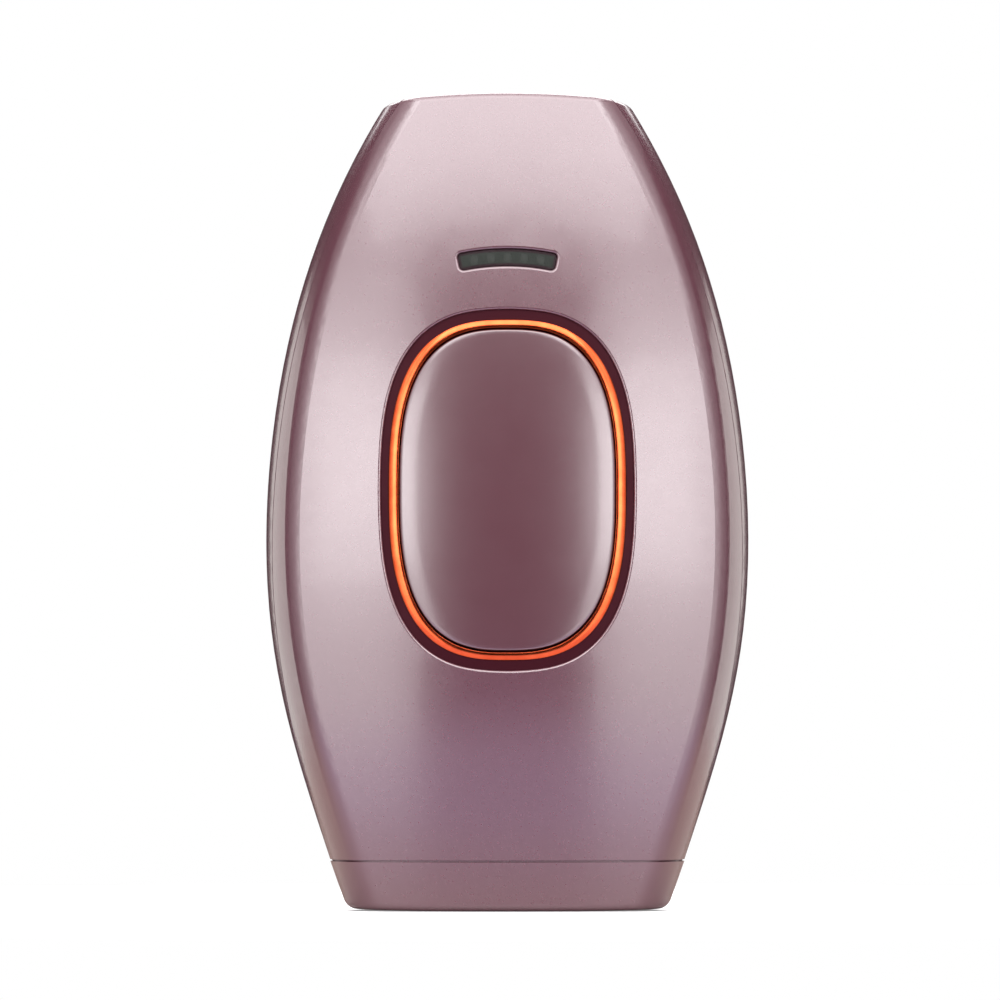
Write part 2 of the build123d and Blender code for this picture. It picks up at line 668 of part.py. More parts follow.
with BuildPart() as fan_stator:
    with BuildSketch(FAN_FRONT.offset(-2.2)):
        with Locations((0, FAN_Z)):
            Circle(2.6)
            with PolarLocations(4.6, 4):
                Rectangle(5.6, 2.2)
            with PolarLocations(7.0, 4):
                Rectangle(1.2, 6.0)
            Circle(2.45, mode=Mode.SUBTRACT)
    extrude(amount=-4.6)
save(fan_stator, "fan_stator")

with BuildPart() as fan_rotor:
    with BuildSketch(FAN_FRONT.offset(-1.9)):
        with Locations((0, FAN_Z)):
            Circle(HUB_RADIUS)
    extrude(amount=-7.2)
    with BuildSketch(FAN_FRONT.offset(-1.9)):
        with Locations((0, FAN_Z)):
            Circle(HUB_RADIUS - 1.1)
    extrude(amount=-6.2, mode=Mode.SUBTRACT)
    with BuildSketch(FAN_FRONT.offset(-1.9)):
        with Locations((0, FAN_Z)):
            Circle(SHAFT_RADIUS)
    extrude(amount=-REACH, mode=Mode.SUBTRACT)
    front_circles = fan_rotor.edges().filter_by(GeomType.CIRCLE).sort_by(Axis.Y)[-2:]
    fillet(front_circles.sort_by(SortBy.RADIUS)[-1], radius=0.8)

with BuildPart() as blade_ring:
    with BuildSketch(FAN_FRONT.offset(-2.0)):
        with Locations((0, FAN_Z)):
            Circle(FAN_BORE - 0.6)
            Circle(HUB_RADIUS - 0.3, mode=Mode.SUBTRACT)
    extrude(amount=-6.9)

blade_form = Pos(13.6, FAN_Y + 5.45, FAN_Z) * Rot(X=38) * Box(9.6, 16.0, 0.9)
with BuildPart() as blades:
    for i in range(BLADES):
        add(blade_form.rotate(Axis((0, 0, FAN_Z), (0, 1, 0)), i * 360 / BLADES))
    add(blade_ring.part, mode=Mode.INTERSECT)

with BuildPart() as bladed_rotor:
    add(fan_rotor.part)
    add(blades.part)
save(bladed_rotor, "fan_rotor")

with BuildPart() as fan_shaft:
    with BuildSketch(FAN_FRONT.offset(-1.6)):
        with Locations((0, FAN_Z)):
            Circle(SHAFT_RADIUS)
    extrude(amount=-7.5)
save(fan_shaft, "fan_shaft")

for name, corner in (("low", FAN_CORNERS[0]), ("high", FAN_CORNERS[-1])):
    with BuildPart() as fan_screw:
        with BuildSketch(FAN_FRONT.offset(-0.02)):
            with Locations(corner):
                Circle(2.4)
        extrude(amount=1.2)
        chamfer(fan_screw.edges().sort_by(Axis.Y)[0], length=0.4)
        with BuildSketch(FAN_FRONT.offset(-0.02)):
            with Locations(corner):
                Circle(1.05)
        extrude(amount=-FAN_THICK - 0.6)
    save(fan_screw, f"fan_screw_{name}")

# -------------------------------------------------- back trim: intake grille, blank plate, screws
with BuildPart() as vent_grille:
    with BuildSketch(FRONT):
        with Locations((0, FAN_Z)):
            Circle(GRILLE_RADIUS)
    extrude(amount=-REACH)
    add(layer(0.2, 1.75), mode=Mode.INTERSECT)
    with BuildSketch(FRONT) as slots:
        for i in range(-4, 5):
            x = 3.5 * i
            tall = sqrt((GRILLE_RADIUS - 2.0) ** 2 - x**2) - 1.2
            with Locations((x, FAN_Z + 1.2 + tall / 2), (x, FAN_Z - 1.2 - tall / 2)):
                SlotOverall(tall, 1.7, rotation=90)
    extrude(amount=-REACH, mode=Mode.SUBTRACT)
save(vent_grille, "vent_grille")

with BuildPart() as rating_plate:
    with BuildSketch(FRONT):
        with Locations((0, PLATE_Z)):
            RectangleRounded(PLATE_SIZE[0] - 0.2, PLATE_SIZE[1] - 0.2, 1.4)
    extrude(amount=-REACH)
    add(layer(0.1, PLATE_SINK - 0.02), mode=Mode.INTERSECT)
save(rating_plate, "rating_plate")

for i, spot in enumerate(SCREW_SPOTS):
    with BuildPart() as case_screw:
        with BuildSketch(FRONT.offset(-SCREW_SEAT_Y - 0.02)):
            with Locations(spot):
                Circle(SCREW_HEAD)
        extrude(amount=-1.8)
        fillet(case_screw.edges().sort_by(Axis.Y)[-1], radius=0.6)
        with BuildSketch(FRONT.offset(-SCREW_SEAT_Y - 0.02)):
            with Locations(spot):
                Circle(SCREW_SHANK)
        extrude(amount=SCREW_LENGTH)
        with BuildSketch(FRONT.offset(-SCREW_SEAT_Y - 1.0)):
            with Locations(spot):
                Rectangle(3.2, 0.7)
                Rectangle(0.7, 3.2)
        extrude(amount=-REACH, mode=Mode.SUBTRACT)
    save(case_screw, f"case_screw_{i + 1}")

# ------------------------------------------------------------ power electronics on the main board
BOARD_FRONT = FRONT.offset(-MAIN_BOARD_Y + 0.03)
BOARD_BACK = FRONT.offset(-MAIN_BOARD_Y - BOARD - 0.03)

with BuildPart() as main_board:
    with BuildSketch(FRONT.offset(-MAIN_BOARD_Y)):
        with Locations((0, 72.0)):
            RectangleRounded(46.0, 64.0, 1.5)
        with Locations(BOARD_SPOTS):
            Circle(1.2, mode=Mode.SUBTRACT)
    extrude(amount=0.02 - BOARD)
save(main_board, "main_board")

with BuildPart() as charge_transformer:
    with BuildSketch(BOARD_FRONT):
        with Locations((-11.0, 60.0)):
            Rectangle(18.0, 16.0)
    extrude(amount=8.4)
    with BuildSketch(BOARD_FRONT.offset(1.6)):
        with Locations((-11.0, 67.0), (-11.0, 53.0)):
            Rectangle(12.0, 3.0)
    extrude(amount=REACH, mode=Mode.SUBTRACT)
    chamfer(charge_transformer.faces().sort_by(Axis.Y)[0].edges(), length=0.4)
save(charge_transformer, "charge_transformer")

with BuildPart() as power_transistor:
    with BuildSketch(BOARD_FRONT):
        with Locations((12.0, 56.0)):
            Rectangle(10.0, 9.2)
    extrude(amount=4.4)
    chamfer(power_transistor.faces().sort_by(Axis.Y)[0].edges(), length=0.4)
    with BuildSketch(BOARD_FRONT):
        with Locations((12.0, 63.6)):
            Rectangle(10.0, 6.0)
            Circle(1.6, mode=Mode.SUBTRACT)
    extrude(amount=1.2)
save(power_transistor, "power_transistor")

with BuildPart() as power_inductor:
    for start, high, radius in ((0.0, 1.2, 5.6), (1.2, 4.6, 4.4), (5.8, 1.2, 5.6)):
        with BuildSketch(BOARD_FRONT.offset(start)):
            with Locations((12.0, 83.0)):
                Circle(radius)
        extrude(amount=high)
save(power_inductor, "power_inductor")

with BuildPart() as board_link:
    with BuildSketch(BOARD_FRONT):
        with Locations((0, 98.5)):
            Rectangle(14.0, 4.4)
    extrude(amount=9.1)
save(board_link, "board_link")

with BuildPart() as trigger_transformer:
    for start, high, radius in ((0.0, 1.0, 4.6), (1.0, 6.0, 4.0), (7.0, 1.0, 4.6)):
        with BuildSketch(BOARD_BACK.offset(-start)):
            with Locations((0, 47.0)):
                Circle(radius)
        extrude(amount=-high)
save(trigger_transformer, "trigger_transformer")

# -------------------------------------------------------- storage capacitor, laid across the tail
CAN_SIDE = Plane.YZ.offset(-CAN_LENGTH / 2)
with BuildPart() as storage_capacitor:
    with BuildSketch(CAN_SIDE):
        with Locations((CAN_Y, CAN_Z)):
            Circle(CAN_RADIUS)
    extrude(amount=CAN_LENGTH)
    fillet(storage_capacitor.edges().filter_by(GeomType.CIRCLE), radius=1.2)
save(storage_capacitor, "storage_capacitor")

with BuildPart() as capacitor_strap:
    with BuildSketch(FRONT.offset(-CAN_Y)):
        with Locations((12.0, CAN_Z)):
            Rectangle(8.0, 7.0)
    extrude(amount=-REACH)
    add(INSIDE, mode=Mode.INTERSECT)
    with BuildSketch(Plane.YZ.offset(8.0)):
        with Locations((CAN_Y, CAN_Z)):
            Circle(CAN_RADIUS + 1.1)
    extrude(amount=8.0)
    with BuildSketch(Plane.YZ):
        with Locations((CAN_Y, CAN_Z)):
            Circle(CAN_RADIUS + 0.1)
    extrude(amount=REACH, both=True, mode=Mode.SUBTRACT)
save(capacitor_strap, "capacitor_strap")

for name, side in (("left", -1), ("right", 1)):
    with BuildPart() as capacitor_terminal:
        with BuildSketch(Plane.YZ.offset(side * (CAN_LENGTH / 2 + 0.02))):
            with Locations((CAN_Y, CAN_Z)):
                Circle(2.4)
        extrude(amount=side * 0.8)
        with BuildSketch(Plane.YZ.offset(side * (CAN_LENGTH / 2 + 0.5))):
            with Locations((CAN_Y, CAN_Z)):
                Circle(1.0)
        extrude(amount=side * 2.6)
    save(capacitor_terminal, f"capacitor_terminal_{name}")

# ------------------------------------------------------------ the power inlet behind the tail cap
INLET = Plane(origin=(0, INLET_Y, TAIL_FLOOR), x_dir=(1, 0, 0), z_dir=(0, 0, 1))
with BuildPart() as dc_jack:
    with BuildSketch(INLET.offset(0.03)):
        RectangleRounded(9.6, 9.6, 1.5)
    extrude(amount=9.5)
    with BuildSketch(INLET):
        Circle(2.9)
    extrude(amount=8.2, mode=Mode.SUBTRACT)
    with BuildSketch(INLET):
        Circle(0.86)
    extrude(amount=REACH, mode=Mode.SUBTRACT)
save(dc_jack, "dc_jack")

with BuildPart() as dc_jack_pin:
    with BuildSketch(INLET.offset(2.0)):
        Circle(0.82)
    extrude(amount=8.6)
    fillet(dc_jack_pin.edges().sort_by(Axis.Z)[0], radius=0.35)
save(dc_jack_pin, "dc_jack_pin")


# ------------------------------------------------------ wires held inside, as runs joined by arcs
def wire(points, radius):
    """A wire along straight runs, each bend an arc as large as its two runs allow."""
    radii = []
    for before, here, after in zip(points, points[1:], points[2:]):
        run_in = Vector(*here) - Vector(*before)
        run_out = Vector(*after) - Vector(*here)
        turn = radians(run_in.get_angle(run_out))
        radii.append(0.45 * min(run_in.length, run_out.length) / tan(turn / 2))
    with BuildPart() as tube:
        with BuildLine() as path:
            FilletPolyline(*points, radius=radii)
        with BuildSketch(Plane(origin=path.wire() @ 0, z_dir=path.wire() % 0)):
            Circle(radius)
        sweep()
    length = path.wire().length
    print("wire", round(length, 1), "arc radii", [round(r, 1) for r in radii])
    print("  volume over section times length", round(tube.part.volume / (pi * radius**2 * length), 4))
    return tube


LAMP_END = HEAD.origin - HEAD.z_dir * (LAMP_DEPTH + 1.55)
for name, side in (("left", -1), ("right", 1)):
    lead = wire(
        [
            (side * 23.6, LAMP_END.Y, LAMP_END.Z),
            (side * 23.8, LAMP_END.Y - 0.6, LAMP_END.Z - 10.0),
            (side * 24.3, -1.0, 100.0),
            (side * 24.1, -0.6, 75.0),
            (side * 24.2, -0.2, 52.0),
            (side * 23.4, -0.8, CAN_Z + 1.05),
        ],
        0.6,
    )
    save(lead, f"lamp_lead_{name}")

for name, side in (("plus", -1), ("minus", 1)):
    lead = wire(
        [
            (side * 2.4, INLET_Y + 2.0, TAIL_FLOOR + 9.9),
            (side * 2.6, 10.4, 14.4),
            (side * 3.0, 12.4, 20.5),
            (side * 3.2, 12.6, 28.5),
            (side * 3.6, 11.6, 36.0),
            (side * 7.0, 6.5, 41.5),
            (side * 9.0, 0.85, 43.5),
        ],
        0.55,
    )
    save(lead, f"dc_lead_{name}")
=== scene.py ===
# %% [markdown]
# # A hand-held pulsed-light hair remover
#
# The casing, the button and everything inside come from the CAD frame at their real size, in metres. This
# lesson gives each of them its finish: pearl lacquer, copper plating, smoked lens, coated glass, moulded
# plastics and metals. Then it sets a small studio round them and a camera straight in front.

# %% Load the frame
import math

import bmesh
import bpy
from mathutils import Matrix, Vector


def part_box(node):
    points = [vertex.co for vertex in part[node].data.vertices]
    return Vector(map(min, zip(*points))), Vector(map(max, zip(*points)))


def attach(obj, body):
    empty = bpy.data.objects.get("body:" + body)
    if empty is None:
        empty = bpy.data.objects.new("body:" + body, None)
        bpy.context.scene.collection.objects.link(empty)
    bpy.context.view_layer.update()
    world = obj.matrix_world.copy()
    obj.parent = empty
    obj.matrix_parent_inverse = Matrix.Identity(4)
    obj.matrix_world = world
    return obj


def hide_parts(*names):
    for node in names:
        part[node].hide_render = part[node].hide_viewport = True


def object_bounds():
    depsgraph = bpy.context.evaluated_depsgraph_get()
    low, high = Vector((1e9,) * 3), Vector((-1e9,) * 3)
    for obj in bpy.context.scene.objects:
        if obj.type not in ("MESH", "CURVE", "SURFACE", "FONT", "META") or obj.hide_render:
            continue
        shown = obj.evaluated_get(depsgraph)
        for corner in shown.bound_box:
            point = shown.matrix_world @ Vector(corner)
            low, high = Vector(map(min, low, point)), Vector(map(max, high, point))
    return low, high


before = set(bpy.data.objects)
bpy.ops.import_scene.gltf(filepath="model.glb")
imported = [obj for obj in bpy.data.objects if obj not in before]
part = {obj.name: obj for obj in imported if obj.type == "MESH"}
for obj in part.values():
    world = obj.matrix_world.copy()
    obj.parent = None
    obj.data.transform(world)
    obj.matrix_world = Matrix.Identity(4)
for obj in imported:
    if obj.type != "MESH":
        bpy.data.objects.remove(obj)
cad_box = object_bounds()
print("parts in the frame:", len(part))

# %% [markdown]
# ## Camera and floor first
#
# A product picture is taken from far away with a long lens, so that left and right edges stay parallel and
# the tail seam looks straight. A 600 mm lens almost three metres away gives that view, at the height of the
# object's middle.

# %% Camera
low, high = cad_box
middle_z = (low.z + high.z) / 2
picture_height = 0.176  # metres of the object's plane that fill the picture
lens_mm, film_mm = 600.0, 36.0
shift_x, shift_z = -0.0013, 0.00035  # the object stands a little off the middle of the picture
camera_data = bpy.data.cameras.new("studio_camera")
camera_data.lens = lens_mm
camera_data.sensor_width = film_mm
camera = bpy.data.objects.new("studio_camera", camera_data)
distance = picture_height * lens_mm / film_mm
camera.location = (shift_x, low.y - distance, middle_z + shift_z)
camera.rotation_euler = (math.radians(90), 0, 0)
camera_data.clip_end = 20
bpy.context.scene.collection.objects.link(camera)
bpy.context.scene.camera = camera
bpy.context.scene.view_settings.view_transform = "Standard"
print("camera distance", round(distance, 3))

# %% [markdown]
# ## Small helpers for shader nodes
#
# A finish is a chain of nodes. Two short helpers keep the chains readable: one adds a node and sets its
# inputs by name, the other starts a material with its Principled shader and object coordinates. The frame's
# parts all sit at the origin, so object coordinates are metres on the real thing.


# %% Node helpers
def add_node(tree, kind, inputs=None, **settings):
    node = tree.nodes.new(kind)
    for key, value in settings.items():
        setattr(node, key, value)
    for key, value in (inputs or {}).items():
        if isinstance(value, bpy.types.NodeSocket):
            tree.links.new(value, node.inputs[key])
        else:
            node.inputs[key].default_value = value
    return node


def start_finish(name, **shader_values):
    material = bpy.data.materials.new(name)
    material.use_nodes = True
    tree = material.node_tree
    shader = tree.nodes["Principled BSDF"]
    for key, value in shader_values.items():
        shader.inputs[key.replace("_", " ")].default_value = value
    place = add_node(tree, "ShaderNodeTexCoord").outputs["Object"]
    return material, tree, shader, place


def use_group(tree, group, **inputs):
    node = tree.nodes.new("ShaderNodeGroup")
    node.node_tree = group
    for key, value in inputs.items():
        socket = node.inputs[key.replace("_", " ")]
        if isinstance(value, bpy.types.NodeSocket):
            tree.links.new(value, socket)
        else:
            socket.default_value = value
    return node


def new_group(name, inputs, outputs):
    group = bpy.data.node_groups.new(name, "ShaderNodeTree")
    for label, kind, value in inputs:
        socket = group.interface.new_socket(label, in_out="INPUT", socket_type=kind)
        if value is not None:
            socket.default_value = value
    for label, kind in outputs:
        group.interface.new_socket(label, in_out="OUTPUT", socket_type=kind)
    return group, group.nodes.new("NodeGroupInput"), group.nodes.new("NodeGroupOutput")


COLOR, FLOAT, VECTOR = "NodeSocketColor", "NodeSocketFloat", "NodeSocketVector"

# %% [markdown]
# ## Pearl flakes
#
# Pearl lacquer holds mica flakes of a few tenths of a millimetre. Each one lies at a slightly different
# angle, so the paint looks finely grained under a soft light. Voronoi cells stand for the flakes: each cell
# has its own random colour, which lightens or darkens the paint a little and tips the surface a little. A
# painted texture could do the same, but cells in object space never stretch or show a seam.


# %% Pearl flake group
def build_pearl_flakes():
    group, enter, leave = new_group(
        "pearl_flakes",
        [("Place", VECTOR, None), ("Paint", COLOR, (0.5, 0.3, 0.3, 1)), ("Glint", COLOR, (1, 0.9, 0.9, 1)),
         ("Flake Size", FLOAT, 0.0004), ("Sparkle", FLOAT, 0.2), ("Roughness", FLOAT, 0.35)],
        [("Color", COLOR), ("Roughness", FLOAT), ("Height", FLOAT)],
    )
    density = add_node(group, "ShaderNodeMath", {0: 1.0, 1: enter.outputs["Flake Size"]}, operation="DIVIDE")
    flakes = add_node(
        group, "ShaderNodeTexVoronoi", {"Vector": enter.outputs["Place"], "Scale": density.outputs[0]}
    )
    level = add_node(group, "ShaderNodeSeparateColor", {"Color": flakes.outputs["Color"]})
    cloud = add_node(
        group, "ShaderNodeTexNoise", {"Vector": enter.outputs["Place"], "Scale": 190.0, "Detail": 3.0}
    )
    bright = add_node(
        group, "ShaderNodeMapRange",
        {"Value": level.outputs["Red"], "From Min": 0.35, "From Max": 1.0, "To Min": 0.0, "To Max": 1.0},
    )
    amount = add_node(
        group, "ShaderNodeMath", {0: bright.outputs[0], 1: enter.outputs["Sparkle"]}, operation="MULTIPLY"
    )
    tinted = add_node(group, "ShaderNodeMix", {"Factor": amount.outputs[0]}, data_type="RGBA")
    group.links.new(enter.outputs["Paint"], tinted.inputs["A"])
    group.links.new(enter.outputs["Glint"], tinted.inputs["B"])
    drift = add_node(
        group, "ShaderNodeMapRange",
        {"Value": cloud.outputs["Fac"], "From Min": 0.3, "From Max": 0.7, "To Min": -0.008, "To Max": 0.008},
    )
    spread = add_node(
        group, "ShaderNodeMath",
        {0: level.outputs["Green"], 1: 0.02, 2: enter.outputs["Roughness"]}, operation="MULTIPLY_ADD",
    )
    rough = add_node(group, "ShaderNodeMath", {0: spread.outputs[0], 1: drift.outputs[0]}, operation="ADD")
    group.links.new(tinted.outputs["Result"], leave.inputs["Color"])
    group.links.new(rough.outputs[0], leave.inputs["Roughness"])
    group.links.new(level.outputs["Blue"], leave.inputs["Height"])
    return group


PEARL_FLAKES = build_pearl_flakes()
print("group", PEARL_FLAKES.name)

# %% [markdown]
# ## Moulded grain and handling
#
# Moulded plastic is never optically flat: the tool leaves a fine grain, and hands leave slightly glossier
# patches. One group gives the grain as a height and the patches as a change of roughness and tone, for every
# plastic on the object.


# %% Moulded grain group
def build_moulded_grain():
    group, enter, leave = new_group(
        "moulded_grain",
        [("Place", VECTOR, None), ("Plastic", COLOR, (0.1, 0.1, 0.1, 1)), ("Worn", COLOR, (0.2, 0.2, 0.2, 1)),
         ("Grain Size", FLOAT, 0.0003), ("Roughness", FLOAT, 0.4), ("Handling", FLOAT, 0.1)],
        [("Color", COLOR), ("Roughness", FLOAT), ("Height", FLOAT)],
    )
    density = add_node(group, "ShaderNodeMath", {0: 1.0, 1: enter.outputs["Grain Size"]}, operation="DIVIDE")
    grain = add_node(
        group, "ShaderNodeTexNoise",
        {"Vector": enter.outputs["Place"], "Scale": density.outputs[0], "Detail": 2.0},
    )
    patches = add_node(
        group, "ShaderNodeTexNoise",
        {"Vector": enter.outputs["Place"], "Scale": 75.0, "Detail": 5.0, "Roughness": 0.6},
    )
    patch_mask = add_node(
        group, "ShaderNodeMapRange",
        {"Value": patches.outputs["Fac"], "From Min": 0.45, "From Max": 0.7, "To Min": 0.0, "To Max": 1.0},
    )
    amount = add_node(
        group, "ShaderNodeMath",
        {0: patch_mask.outputs[0], 1: enter.outputs["Handling"]}, operation="MULTIPLY",
    )
    mixed = add_node(group, "ShaderNodeMix", {"Factor": amount.outputs[0]}, data_type="RGBA")
    group.links.new(enter.outputs["Plastic"], mixed.inputs["A"])
    group.links.new(enter.outputs["Worn"], mixed.inputs["B"])
    polish = add_node(
        group, "ShaderNodeMath",
        {0: amount.outputs[0], 1: -0.6, 2: enter.outputs["Roughness"]}, operation="MULTIPLY_ADD",
    )
    rough = add_node(
        group, "ShaderNodeMath",
        {0: grain.outputs["Fac"], 1: 0.06, 2: polish.outputs[0]}, operation="MULTIPLY_ADD",
    )
    group.links.new(mixed.outputs["Result"], leave.inputs["Color"])
    group.links.new(rough.outputs[0], leave.inputs["Roughness"])
    group.links.new(grain.outputs["Fac"], leave.inputs["Height"])
    return group


MOULDED_GRAIN = build_moulded_grain()
print("group", MOULDED_GRAIN.name)

# %% [markdown]
# ## Dressing the parts
#
# A part keeps the mesh that the CAD gave it and only changes its material.


# %% Dress
dressed = set()


def dress(material, *names):
    for name in names:
        mesh = part[name].data
        mesh.materials.clear()
        mesh.materials.append(material)
        dressed.add(name)
    print(material.name, "on", ", ".join(names))


def bump_from(tree, shader, height, depth, softness=1.0):
    bump = add_node(tree, "ShaderNodeBump", {"Height": height, "Distance": depth, "Strength": softness})
    tree.links.new(bump.outputs["Normal"], shader.inputs["Normal"])


# %% [markdown]
# ## Pearl lacquer
#
# The casing is painted: a dusky rose base, fine mica flakes and a clear coat. In the paint's dark zones the
# base colour shows, and where it mirrors a lamp it turns almost white. A plain metal would tint its highlights
# too, so this paint is mostly a dielectric with a strong, wide reflection, plus a thin sharper coat.


# %% Pearl lacquer
def pearl_lacquer(name, paint, roughness):
    material, tree, shader, place = start_finish(
        name, Metallic=0.1, IOR=1.8, Specular_IOR_Level=0.95, Specular_Tint=(0.985, 0.985, 0.99, 1),
        Coat_Weight=0.3, Coat_Roughness=0.08,
    )
    flakes = use_group(
        tree, PEARL_FLAKES, Place=place, Paint=paint, Glint=(0.60, 0.24, 0.32, 1), Flake_Size=0.00024,
        Sparkle=0.018, Roughness=roughness,
    )
    tree.links.new(flakes.outputs["Color"], shader.inputs["Base Color"])
    tree.links.new(flakes.outputs["Roughness"], shader.inputs["Roughness"])
    bump_from(tree, shader, flakes.outputs["Height"], 0.000001, 0.06)
    return material


rose_lacquer = pearl_lacquer("rose_pearl_lacquer", (0.106, 0.034, 0.049, 1), 0.235)
button_lacquer = pearl_lacquer("button_pearl_lacquer", (0.094, 0.030, 0.041, 1), 0.23)
dress(rose_lacquer, "front_shell", "back_shell", "tail_cap")
dress(button_lacquer, "fire_button")

# %% [markdown]
# ## Copper plating
#
# The ring round the button is plated and polished. Plating is a thin metal skin, so it mirrors the studio in
# its own warm colour. Faint ripples from the plated plastic and small wipe marks keep it from looking like a
# perfect mirror.


# %% Copper plating
def copper_plating():
    material, tree, shader, place = start_finish("copper_plating", Metallic=1.0)
    ripple = add_node(tree, "ShaderNodeTexNoise", {"Vector": place, "Scale": 420.0, "Detail": 3.0})
    tone = add_node(tree, "ShaderNodeValToRGB", {"Fac": ripple.outputs["Fac"]})
    tone.color_ramp.elements[0].position = 0.35
    tone.color_ramp.elements[0].color = (0.78, 0.105, 0.034, 1)
    tone.color_ramp.elements[1].position = 0.68
    tone.color_ramp.elements[1].color = (0.90, 0.145, 0.048, 1)
    wipes = add_node(
        tree, "ShaderNodeMapRange", {"Value": ripple.outputs["Fac"], "To Min": 0.12, "To Max": 0.24}
    )
    tree.links.new(tone.outputs["Color"], shader.inputs["Base Color"])
    tree.links.new(wipes.outputs[0], shader.inputs["Roughness"])
    bump_from(tree, shader, ripple.outputs["Fac"], 0.00001, 0.1)
    return material


copper = copper_plating()
dress(copper, "accent_ring")

# %% [markdown]
# ## Following the crown
#
# The ring and the button follow the casing's crowned front: an arc from side to side, and a slow fall towards
# both ends. Their outline is a superellipse, a curve between an ellipse and a rectangle. One function gives
# the height of the front at any place, another walks round the outline at any size.

# %% Front form and outline
FRONT_DEPTH, FRONT_BOW, BELLY_Z, CROWN_RADIUS = 0.021, 1.73, 0.068, 0.094
OUTLINE_EXPONENT, OUTLINE_STEPS = 2.75, 192
button_low, button_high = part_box("fire_button")
button_z = (button_low.z + button_high.z) / 2
skin_inset = 0.00003  # the made pieces stay this far inside the space of the plain ones


def front_y(x, z):
    depth = FRONT_DEPTH - FRONT_BOW * (z - BELLY_Z) ** 2
    return CROWN_RADIUS - depth - math.sqrt(CROWN_RADIUS**2 - x**2)


def outline(half_width, half_height):
    points = []
    for step in range(OUTLINE_STEPS):
        angle = 2 * math.pi * step / OUTLINE_STEPS
        across, up = math.cos(angle), math.sin(angle)
        x = math.copysign(half_width * abs(across) ** (2 / OUTLINE_EXPONENT), across)
        z = math.copysign(half_height * abs(up) ** (2 / OUTLINE_EXPONENT), up)
        points.append((x, button_z + z))
    return points


def half_size(node):
    start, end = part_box(node)
    return (end.x - start.x) / 2 - skin_inset, (end.z - start.z) / 2 - skin_inset


def skin_rings(name, rings, close_ring=False, cap_start=False, cap_end=False):
    """A smooth mesh over a list of rings that all have the same number of points."""
    steps = len(rings[0])
    verts = [point for ring in rings for point in ring]
    pairs = len(rings) if close_ring else len(rings) - 1
    faces = []
    for index in range(pairs):
        here, there = index * steps, ((index + 1) % len(rings)) * steps
        for step in range(steps):
            following = (step + 1) % steps
            faces.append((here + step, here + following, there + following, there + step))
    for wanted, first in ((cap_start, 0), (cap_end, (len(rings) - 1) * steps)):
        if wanted:
            ring = verts[first:first + steps]
            middle = tuple(sum(axis) / steps for axis in zip(*ring))
            verts.append(middle)
            for step in range(steps):
                faces.append((first + step, first + (step + 1) % steps, len(verts) - 1))
    mesh = bpy.data.meshes.new(name)
    mesh.from_pydata(verts, [], faces)
    shape = bmesh.new()
    shape.from_mesh(mesh)
    bmesh.ops.recalc_face_normals(shape, faces=shape.faces)
    shape.to_mesh(mesh)
    shape.free()
    mesh.shade_smooth()
    piece = bpy.data.objects.new(name, mesh)
    bpy.context.scene.collection.objects.link(piece)
    print(name, "faces", len(mesh.polygons))
    return piece


# %% [markdown]
# ## The ring with a rounded top
#
# The plated ring has a crowned top that peaks nearer its inner edge, which turns a wide lamp into one bright
# line with darker borders. Its section is drawn between the outer and the inner outline and carried round.

# %% Accent ring
TOP_STEPS, RING_SINK = 24, 0.00006
RING_CROWN, RING_PEAK = 0.00065, 0.7  # the crown's height and where it peaks, from outside to inside
RING_EDGE, EDGE_SHARE = 0.00006, 0.90
ring_outer = half_size("accent_ring")
ring_width, ring_width_ends = 0.00168, 0.00133  # beside the button, and above and below it
ring_inner = (ring_outer[0] - ring_width, ring_outer[1] - ring_width_ends)
ring_depth = 0.0024


def ring_line(share, sink):
    """The ring's outline at a share of its width from outside to inside, sunk under the front."""
    half_width = ring_outer[0] + share * (ring_inner[0] - ring_outer[0])
    half_height = ring_outer[1] + share * (ring_inner[1] - ring_outer[1])
    return [(x, front_y(x, z) + sink, z) for x, z in outline(half_width, half_height)]


section = [ring_line(0.0, ring_depth)]
for step in range(TOP_STEPS + 1):
    share = (1 - math.cos(math.pi * step / TOP_STEPS)) / 2
    off_middle = abs(2 * share - 1)
    edge = max(0.0, off_middle - EDGE_SHARE) / (1 - EDGE_SHARE)
    drop = RING_CROWN * (share - RING_PEAK) ** 2 + RING_EDGE * (1 - math.sqrt(1 - edge**2))
    section.append(ring_line(share, RING_SINK + drop))
section.append(ring_line(1.0, ring_depth))
accent = skin_rings("plated_ring", section, close_ring=True)
accent.data.materials.append(copper)
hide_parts("accent_ring")
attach(accent, "root")

# %% [markdown]
# ## The button's cap
#
# The button repeats the crown, but its rim rolls off a little over the last few millimetres and then turns
# round a small edge into the side wall. The roll is what catches the lamps along its left and right. A grid
# of rings from the middle outwards can carry that exact section; a bevel on a cut solid could not.

# %% Button cap
cap_size = half_size("fire_button")
CAP_PROUD, CAP_EDGE, CAP_THICK = 0.00057, 0.00028, 0.0026
ROLL_WIDTH, ROLL_DROP, ROLL_FULL_FROM = 0.0030, 0.00016, 0.8  # the last is a share of the half width
TOP_RINGS, EDGE_STEPS = 36, 8
NIB_RADIUS = 0.0024


def cap_ring(size, sink, roll=0.0):
    """One ring of the cap: the roll is full at the left and right and none at the top and bottom."""
    ring = []
    for x, z in outline(*size):
        sideways = min(1.0, abs(x) / (ROLL_FULL_FROM * cap_size[0])) ** 2
        ring.append((x, front_y(x, z) + sink - CAP_PROUD + roll * sideways, z))
    return ring


def roll_off(from_edge):
    return ROLL_DROP * max(0.0, 1 - from_edge / ROLL_WIDTH) ** 2


